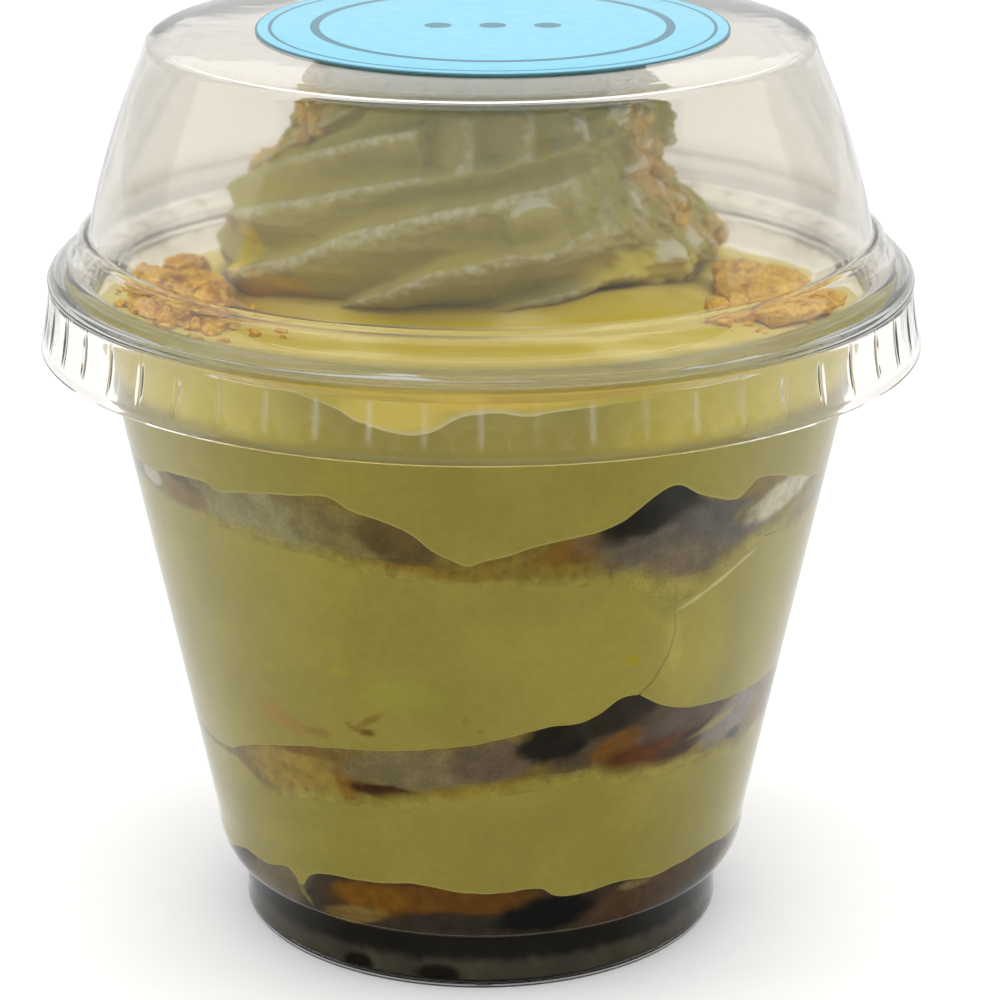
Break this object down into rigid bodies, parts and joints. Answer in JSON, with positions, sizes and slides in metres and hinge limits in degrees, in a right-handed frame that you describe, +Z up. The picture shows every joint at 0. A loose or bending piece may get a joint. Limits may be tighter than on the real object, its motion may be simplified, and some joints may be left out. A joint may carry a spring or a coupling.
{
  "type": "banana pudding in a lidded cup",
  "caption": "Layered banana pudding with wafers, banana slices and a cream swirl in a clear tapered cup under a clear domed lid with a round sticker.",
  "frame": {"origin": "middle of the cup's foot, on the surface it stands on", "axes": "+Z up along the cup's axis; the pictured side faces -Y, its right is +X"},
  "size_m": [0.0984, 0.0984, 0.1031],
  "materials": {
    "clear_plastic": "clear moulded PET",
    "sticker_paper": "coated paper",
    "pudding": "smooth, moist",
    "custard": "smooth, moist",
    "whipped_cream": "soft, matt",
    "wafer": "crumbly, soaked",
    "banana": "moist",
    "banana_mash": "moist",
    "dark_syrup": "glossy"
  },
  "bodies": {
    "root": {"banana_base_back": "banana", "banana_base_dark": "banana", "banana_base_left": "banana", "banana_base_middle": "banana", "banana_base_side": "banana", "banana_lower_back": "banana", "banana_lower_dark": "banana", "banana_lower_edge": "banana", "banana_lower_middle": "banana", "banana_lower_right": "banana", "banana_lower_side": "banana", "banana_upper_back": "banana", "banana_upper_edge": "banana", "banana_upper_left": "banana", "banana_upper_right": "banana", "banana_upper_side": "banana", "cream_swirl": "whipped_cream", "crumb_heap": "wafer", "cup": "clear_plastic", "custard_cap": "custard", "dark_syrup": "dark_syrup", "fruit_base": "banana_mash", "fruit_lower": "banana_mash", "fruit_upper": "banana_mash", "label": "sticker_paper", "lid": "clear_plastic", "pudding_bottom": "pudding", "pudding_middle_left": "pudding", "pudding_middle_right": "pudding", "pudding_top": "pudding", "wafer_base_back": "wafer", "wafer_base_middle": "wafer", "wafer_base_right": "wafer", "wafer_lower_back": "wafer", "wafer_lower_left": "wafer", "wafer_lower_right": "wafer", "wafer_lower_side": "wafer", "wafer_lower_strip": "wafer", "wafer_piece": "wafer", "wafer_upper_back": "wafer", "wafer_upper_left": "wafer", "wafer_upper_middle": "wafer", "wafer_upper_right": "wafer", "wafer_upper_side": "wafer", "wafer_upper_strip": "wafer"}
  },
  "joints": []
}
